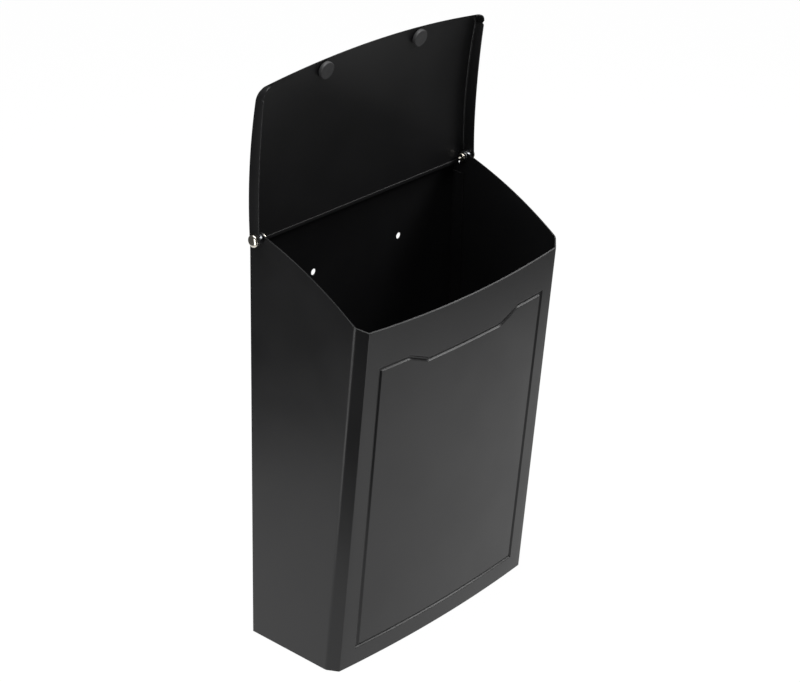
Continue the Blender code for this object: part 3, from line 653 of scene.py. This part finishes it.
# ---------------------------------------------------------------- lid shapes
class LidShape:
    """Shape of the lid when shut, and its turn to the pose shown, which is the
    hinge's upper limit."""

    def __init__(self, lid, box):
        self.lid = lid
        self.box = box
        top_edge = box_top_edge(box)
        half_top = WIDTH / 2 - box.inset_top
        pad_x = lid.pad_spacing / 2
        self.wall_at_pad = box.depth_top + box.bow_top * (1 - (pad_x / half_top) ** 2)
        rest = self.wall_at_pad - box.sheet
        slope = float(top_edge.slope(rest))
        touch = (rest + lid.rest_gap * math.sin(slope),
                 float(top_edge.height(rest)) + lid.rest_gap * math.cos(slope))
        self.under = Crown((PIVOT_DEPTH, PIVOT_HEIGHT), lid.crown - lid.plate_gap, touch, lid.crown, lid.crown)
        self.half = WIDTH / 2 + lid.side_room + box.sheet
        self.corner_half = self.half - lid.corner_inset
        self.corner_depth = box.depth_top + lid.overhang
        self.side_depth = self.corner_depth - lid.corner_run
        self.rear = self.find_rear()
        self.skirt = lid.plate_gap + lid.skirt_end
        self.opened = math.radians(frame["record"]["behaviour"]["joints"][0]["range_deg"][1])

    def find_rear(self):
        """Depth where the plate's upper face reaches the swing circle."""
        depths = np.linspace(PIVOT_DEPTH - self.box.swing, PIVOT_DEPTH, 2000)
        reach = np.hypot(PIVOT_DEPTH - depths, self.under.height(depths, self.box.sheet) - PIVOT_HEIGHT)
        return float(depths[reach <= self.box.swing][0])

    def rear_drop(self):
        """How far below the hinge axis the lid's rear edge ends when open."""
        rise = float(self.under.height(self.rear, self.box.sheet)) - PIVOT_HEIGHT
        return (PIVOT_DEPTH - self.rear) * math.sin(self.opened) - rise * math.cos(self.opened)

    def place(self, x, depth, height):
        """Points of the shut lid, turned about the hinge axis to the open pose."""
        ahead = depth - PIVOT_DEPTH
        above = height - PIVOT_HEIGHT
        turned_ahead = ahead * math.cos(self.opened) - above * math.sin(self.opened)
        turned_above = ahead * math.sin(self.opened) + above * math.cos(self.opened)
        return np.stack([x + 0 * ahead, -(turned_ahead + PIVOT_DEPTH), turned_above + HINGE[2]], axis=-1)

    def half_width(self, depth):
        """Straight sides, then a corner that is a quarter of an ellipse."""
        return self.corner_half + self.quarter_ellipse(depth, 0.0)

    def inner_half(self, depth):
        """Inner face of the skirt: the same outline moved in by one sheet."""
        inner = self.corner_half + self.quarter_ellipse(depth, self.box.sheet)
        return np.minimum(inner, self.half_width(depth) - self.box.sheet)

    def quarter_ellipse(self, depth, inset):
        """Run out from the corner's middle line, for an ellipse moved in by inset."""
        part = np.clip((depth - self.side_depth) / (self.lid.corner_run - inset), 0, 1)
        return (self.lid.corner_inset - inset) * np.sqrt(1 - part ** 2)

    def skirt_drop(self, depth):
        """Height of the skirt: round about the hinge at its rear end, tapering
        towards the front, with a relief notch at the corner and a rounded tab."""
        lid = self.lid
        under = self.under.height(depth)
        rear_run = np.clip(PIVOT_DEPTH - depth, 0, lid.skirt_end)
        rear = under - PIVOT_HEIGHT + np.sqrt(lid.skirt_end ** 2 - rear_run ** 2)
        part = np.clip((depth - lid.taper_start) / (self.corner_depth - lid.taper_start), 0, None)
        reach = self.skirt - lid.taper * part ** 2
        reach = reach - lid.notch * np.clip(1 - np.abs(depth - self.side_depth) / lid.notch_run, 0, 1)
        front = under - self.under.height(depth, -reach)
        run = np.clip(lid.corner_round - (self.corner_depth - depth), 0, lid.corner_round)
        front = front - lid.corner_round + np.sqrt(lid.corner_round ** 2 - run ** 2)
        return np.where(depth < PIVOT_DEPTH, rear, front)


def lid_depths(shape):
    """Depths of the lid's sections, close together at the rear end, notch and tab."""
    lid = shape.lid
    first = shape.rear + shape.box.sheet
    notch = shape.side_depth - lid.notch_run
    round_start = shape.corner_depth - lid.corner_round
    angle = np.linspace(0, math.pi / 2, 15)
    return np.concatenate([
        np.linspace(first, PIVOT_DEPTH, 7), np.linspace(PIVOT_DEPTH + MM, notch, 56),
        np.linspace(notch, shape.side_depth + lid.notch_run, 9)[1:],
        np.linspace(shape.side_depth + lid.notch_run, round_start, 6)[1:-1],
        round_start + lid.corner_round * np.sin(angle)])


def lid_ring(shape, depth):
    """Sections across the lid at every depth, as closed rings: up the outside of the
    left skirt, round the fold, over the plate, down the right and back inside."""
    sheet = shape.box.sheet
    half = shape.half_width(depth)[:, None]
    inner_half = shape.inner_half(depth)[:, None]
    under = shape.under.height(depth)[:, None]
    over = shape.under.height(depth, sheet)[:, None]
    low = under - shape.skirt_drop(depth)[:, None]
    angle = np.linspace(0, math.pi / 2, 8)[None, :]
    across = np.linspace(0.9, 0, 6)[None, :]
    rim = np.linspace(0, math.pi, 7)[None, :]
    lip = (half - inner_half) / 2
    rise = sheet / 2
    edge_x = half - lip + lip * np.cos(rim)
    edge_z = low + rise * (1 - np.sin(rim))
    bend = shape.lid.bend
    inner = bend - sheet
    fold = np.clip(inner_half - shape.corner_half, 0.2 * MM, inner)
    root = inner_half - fold
    outer_x = root + (half - root) * np.cos(angle)
    outer_z = np.maximum(over - bend + bend * np.sin(angle), low + rise)
    inner_x = root + fold * np.cos(angle)
    inner_z = np.maximum(under - inner + inner * np.sin(angle), low + rise)
    over_x = root * across
    right = [(over_x[:, ::-1], over + 0 * over_x), (outer_x[:, ::-1], outer_z[:, ::-1]), (edge_x, edge_z),
             (inner_x, inner_z), (over_x, under + 0 * over_x)]
    x = np.hstack([part for part, _ in right])
    z = np.hstack([part + 0 * half for _, part in right])
    x = np.hstack([x, -x[:, ::-1]])
    z = np.hstack([z, z[:, ::-1]])
    return shape.place(x, depth[:, None], z)


def lid_front(shape):
    """The plate's part past the rounded corners: a strip whose far edge is the bowed front.
    A point at share s across and t forward lies at corner_depth + t * bow * (1 - s squared)."""
    share = np.linspace(-1, 1, 97)[:, None]
    forward = np.linspace(0, 1, 10)[None, :]
    x = shape.corner_half * share + 0 * forward
    depth = shape.corner_depth - JOIN + forward * (JOIN + shape.lid.bow * (1 - share ** 2))
    return (shape.place(x, depth, shape.under.height(depth, shape.box.sheet)),
            shape.place(x, depth, shape.under.height(depth)))


def ring_body(name, rings):
    """Closes a row of rings into one body with flat ends."""
    sections, count = rings.shape[:2]
    points = rings.transpose(1, 0, 2).reshape(-1, 3)
    faces = grid_faces(count, sections, wrap_columns=True)
    faces.append([k * sections for k in range(count)][::-1])
    faces.append([k * sections + sections - 1 for k in range(count)])
    return mesh_piece(name, points, faces, smooth_degrees=40)


def lid_hem(shape):
    """The rear edge folded under: a half round of one sheet's radius, then a flat
    return with a rounded end, carried along X between the side walls."""
    sheet = shape.box.sheet
    lip = 0.45 * sheet
    turn = np.radians(np.linspace(90, 270, 15))
    back = np.column_stack([sheet + sheet * np.cos(turn), sheet * np.sin(turn)])
    tip_at = shape.lid.hem_width - lip
    tip = np.radians(np.linspace(-90, 90, 9))
    front = np.column_stack([tip_at + lip * np.cos(tip), -sheet + lip + lip * np.sin(tip)])
    inside = np.array([[sheet, -sheet + 2 * lip], [sheet, 0.0]])
    outline = np.vstack([back, front, inside])
    depth = shape.rear + outline[:, 0]
    height = shape.under.height(depth, 0) + outline[:, 1]
    hinge = settings("mailbox_hinge")
    half = WIDTH / 2 - sheet - hinge.washer_thickness - 2 * hinge.gap
    count = len(outline)
    spans = [shape.place(np.full(count, side * half), depth, height) for side in (-1, 1)]
    return ring_body("lid_hem", np.stack(spans))


class MAILBOX_OT_lid(Operator):
    """Crowned lid with its skirt, corner tabs, bowed front edge and folded rear hem"""
    bl_idname = "mailbox.lid"
    bl_label = "Lid"

    def execute(self, context):
        box = settings("mailbox_sheet")
        shape = LidShape(settings("mailbox_lid"), box)
        plate = ring_body("lid_sheet", lid_ring(shape, lid_depths(shape)))
        subtract(plate, [hole_cutter(settings("mailbox_hinge"))])
        front = sheet_shell("lid_front_edge", *lid_front(shape))
        hem = lid_hem(shape)
        soften(front, box.edge)
        for piece in (plate, front, hem):
            settle(piece, "lid", "powder_coat", powder_coat(), "lid")
        return {"FINISHED"}


class MAILBOX_OT_pads(Operator):
    """Rubber pads under the lid's front edge"""
    bl_idname = "mailbox.pads"
    bl_label = "Rubber Pads"

    def execute(self, context):
        lid = settings("mailbox_lid")
        shape = LidShape(lid, settings("mailbox_sheet"))
        gap = settings("mailbox_hinge").gap
        depth = shape.wall_at_pad + lid.pad_forward
        slope = float(shape.under.slope(depth))
        under = float(shape.under.height(depth))
        height, radius = lid.pad_height, lid.pad_radius
        rim = 0.6 * MM
        profile = np.vstack([[(0.05 * MM, 0), (0.05 * MM, radius - 0.4 * MM)],
                             quarter((0.45 * MM, radius - 0.4 * MM), 0.4 * MM, 180, 90, 4),
                             quarter((height - rim, radius - rim), rim, 90, 0, 8),
                             [(height - 0.05 * MM, radius * 0.6), (height - 0.12 * MM, radius * 0.3),
                              (height - 0.15 * MM, 0)]])
        for side, name in ((-1, "pad_left"), (1, "pad_right")):
            ends = [shape.place(np.array(side * lid.pad_spacing / 2),
                                np.array(depth + reach * math.sin(-slope)),
                                np.array(under - reach * math.cos(slope))) for reach in (gap, gap + height)]
            axis = np.asarray(ends[1]) - np.asarray(ends[0])
            piece = turned_piece(name, profile, ends[0], axis, turns=64)
            settle(piece, "lid", "bumper_rubber", pad_rubber(), name.replace("pad", "bumper"))
        return {"FINISHED"}


# ---------------------------------------------------------------- hinge pieces
def rivet_profile(hinge, room, sheet):
    """(outwards from the wall's inner face, radius) of one rivet: a rolled end with a
    dimple, the shank, and a domed head with a rounded rim."""
    base = room + 2 * sheet + hinge.gap
    clinch = -(2 * hinge.gap + hinge.washer_thickness)
    rim = 0.5 * MM
    dome = np.radians(np.linspace(0, 90, 18))
    head = np.column_stack([base + rim + (hinge.head_height - rim) * np.sin(dome), hinge.head * np.cos(dome)])
    roll = hinge.clinch_height / 2
    rolled = quarter((clinch - roll, hinge.clinch - roll), roll, 180, 0, 14)
    dimple = [(clinch - 0.5 * hinge.clinch_height, 0), (clinch - 0.6 * hinge.clinch_height, hinge.shank * 0.35)]
    shank = [(clinch, hinge.shank), (base, hinge.shank), (base, hinge.head - rim)]
    shoulder = quarter((base + rim, hinge.head - rim), rim, 180, 90, 5)
    return np.vstack([dimple, rolled, shank, shoulder, head[1:]])


def ring_profile(start, thickness, radius, bore, edge):
    """Closed (along, radius) outline of a bush or washer with rounded outer edges."""
    end = start + thickness
    return np.vstack([[(start, bore)], quarter((start + edge, radius - edge), edge, 180, 90, 4),
                      quarter((end - edge, radius - edge), edge, 90, 0, 4), [(end, bore), (start, bore)]])


class MAILBOX_OT_hinges(Operator):
    """Rivets, spacer bushes and washers of both hinge points"""
    bl_idname = "mailbox.hinges"
    bl_label = "Hinge Rivets"

    def execute(self, context):
        hinge = settings("mailbox_hinge")
        box = settings("mailbox_sheet")
        room = settings("mailbox_lid").side_room
        bore = hinge.shank + hinge.gap
        wall = WIDTH / 2 - box.sheet
        profiles = (
            ("hinge_rivet", "rivet", "nickel_plate", nickel_plate(), rivet_profile(hinge, room, box.sheet)),
            ("hinge_spacer", "bush", "zinc_plate", zinc_plate(),
             ring_profile(box.sheet + hinge.gap, room - 2 * hinge.gap, hinge.bush, bore, 0.3 * MM)),
            ("hinge_washer", "washer", "zinc_plate", zinc_plate(),
             ring_profile(-hinge.gap - hinge.washer_thickness, hinge.washer_thickness, hinge.washer, bore,
                          0.2 * MM)))
        for side, tag in ((-1, "left"), (1, "right")):
            centre = (side * wall, HINGE[1], HINGE[2])
            for node, name, slot, material, profile in profiles:
                piece = turned_piece(f"{name}_{tag}", profile, centre, (side, 0, 0), hinge.turns)
                settle(piece, "box", slot, material, f"{node}_{tag}")
        return {"FINISHED"}


# ---------------------------------------------------------------- stage
# name, place, point it faces, size, watts
LIGHTS = (
    ("overhead_soft_box", (-0.25, 0.0, 1.7), (0, -0.06, 0.1), (1.5, 1.5), 40),
    ("left_panel", (-1.15, -0.08, -0.1), (0.0, -0.08, -0.1), (0.35, 1.3), 6),
    ("right_panel", (1.03, -0.77, 0.97), (0, -0.1, 0), (0.6, 0.6), 12),
    ("front_strip", (0.0, -1.05, -0.45), (0, -0.1, 0), (0.3, 0.5), 2.0),
)
STUDIO_GLIMMER = 0.08      # strength of the light from all round
SENSOR_WIDTH = 36.0        # mm


def area_light(name, location, target, size, power):
    """A soft box that faces its target."""
    data = bpy.data.lights.new(name, "AREA")
    data.shape = "RECTANGLE"
    data.size, data.size_y = size
    data.energy = power
    made = bpy.data.objects.new(name, data)
    made.location = location
    made.rotation_euler = (Vector(target) - Vector(location)).to_track_quat("-Z", "Y").to_euler()
    bpy.context.collection.objects.link(made)


def ground_point(stage, along, aside):
    """Floor point at a distance along the line of sight and to its right."""
    ahead = Vector((math.sin(stage.yaw), math.cos(stage.yaw)))
    right = Vector((ahead.y, -ahead.x))
    return Vector(stage.target[:2]) + ahead * along + right * aside


def light_table(stage):
    """A lit opal sheet that widens away from the camera.  Beyond its edges the
    studio is dark, which leaves the upright faces to darken towards the top."""
    level = BASE - stage.floor_drop
    corners = [(stage.table_near, -stage.table_left), (stage.table_near, stage.table_right),
               (stage.table_far, stage.table_spread), (stage.table_far, -stage.table_spread)]
    mesh = bpy.data.meshes.new("light_table")
    mesh.from_pydata([(*ground_point(stage, *corner), level) for corner in corners], [], [(0, 1, 2, 3)])
    made = bpy.data.objects.new("light_table", mesh)
    bpy.context.collection.objects.link(made)
    opal, _, shader = blank_material("lit_opal_sheet")
    shader.inputs["Base Color"].default_value = linear(stage.table_colour)
    shader.inputs["Roughness"].default_value = 0.9
    shader.inputs["Specular IOR Level"].default_value = 0.0
    shader.inputs["Emission Color"].default_value = (1.0, 1.0, 1.0, 1.0)
    shader.inputs["Emission Strength"].default_value = stage.table_glow
    mesh.materials.append(opal)


def studio_camera(stage):
    """Camera on the line of sight: forward is (sin yaw cos pitch, cos yaw cos pitch, -sin pitch)."""
    yaw, pitch = stage.yaw, stage.pitch
    forward = Vector((math.sin(yaw) * math.cos(pitch), math.cos(yaw) * math.cos(pitch), -math.sin(pitch)))
    right = Vector((math.cos(yaw), -math.sin(yaw), 0))
    up = right.cross(forward)
    level_right = right * math.cos(stage.roll) + up * math.sin(stage.roll)
    level_up = up * math.cos(stage.roll) - right * math.sin(stage.roll)
    data = bpy.data.cameras.new("studio_camera")
    data.lens = stage.lens
    data.sensor_width = SENSOR_WIDTH
    data.sensor_fit = "HORIZONTAL"
    data.clip_end = 30.0
    made = bpy.data.objects.new("studio_camera", data)
    turn = Matrix((level_right, level_up, -forward)).transposed().to_4x4()
    made.matrix_world = Matrix.Translation(Vector(stage.target) - forward * stage.distance) @ turn
    bpy.context.collection.objects.link(made)
    bpy.context.scene.camera = made


class MAILBOX_OT_stage(Operator):
    """Camera, pale floor and soft studio lights"""
    bl_idname = "mailbox.stage"
    bl_label = "Studio"

    def execute(self, context):
        stage = settings("mailbox_stage")
        studio_camera(stage)
        light_table(stage)
        context.scene.view_settings.view_transform = "Standard"
        world = bpy.data.worlds.new("dark_studio")
        world.use_nodes = True
        world.node_tree.nodes["Background"].inputs["Color"].default_value = (1.0, 1.0, 1.0, 1.0)
        world.node_tree.nodes["Background"].inputs["Strength"].default_value = STUDIO_GLIMMER
        context.scene.world = world
        for light in LIGHTS:
            area_light(*light)
        return {"FINISHED"}


# ---------------------------------------------------------------- add-on
class MAILBOX_PT_panel(Panel):
    """Lists the mailbox's pieces in the sidebar"""
    bl_idname = "MAILBOX_PT_panel"
    bl_label = "Wall Mailbox"
    bl_space_type = "VIEW_3D"
    bl_region_type = "UI"
    bl_category = "Mailbox"

    def draw(self, context):
        for operator in OPERATORS:
            self.layout.operator(operator.bl_idname)
        for name, group in GROUPS.items():
            column = self.layout.column(heading=group.__doc__)
            for field in group.__annotations__:
                column.prop(getattr(context.scene, name), field)


GROUPS = {
    "mailbox_sheet": MAILBOX_PG_sheet,
    "mailbox_lid": MAILBOX_PG_lid,
    "mailbox_hinge": MAILBOX_PG_hinge,
    "mailbox_finish": MAILBOX_PG_finish,
    "mailbox_stage": MAILBOX_PG_stage,
}
OPERATORS = (MAILBOX_OT_wrap, MAILBOX_OT_panels, MAILBOX_OT_lid, MAILBOX_OT_pads, MAILBOX_OT_hinges,
             MAILBOX_OT_stage)


def register():
    for group in GROUPS.values():
        bpy.utils.register_class(group)
    for operator in OPERATORS:
        bpy.utils.register_class(operator)
    bpy.utils.register_class(MAILBOX_PT_panel)
    for name, group in GROUPS.items():
        setattr(bpy.types.Scene, name, PointerProperty(type=group))


def unregister():
    for name in GROUPS:
        delattr(bpy.types.Scene, name)
    bpy.utils.unregister_class(MAILBOX_PT_panel)
    for operator in reversed(OPERATORS):
        bpy.utils.unregister_class(operator)
    for group in reversed(GROUPS.values()):
        bpy.utils.unregister_class(group)


def main():
    register()
    for operator in OPERATORS:
        category, action = operator.bl_idname.split(".")
        getattr(getattr(bpy.ops, category), action)()


if __name__ == "__main__":
    main()
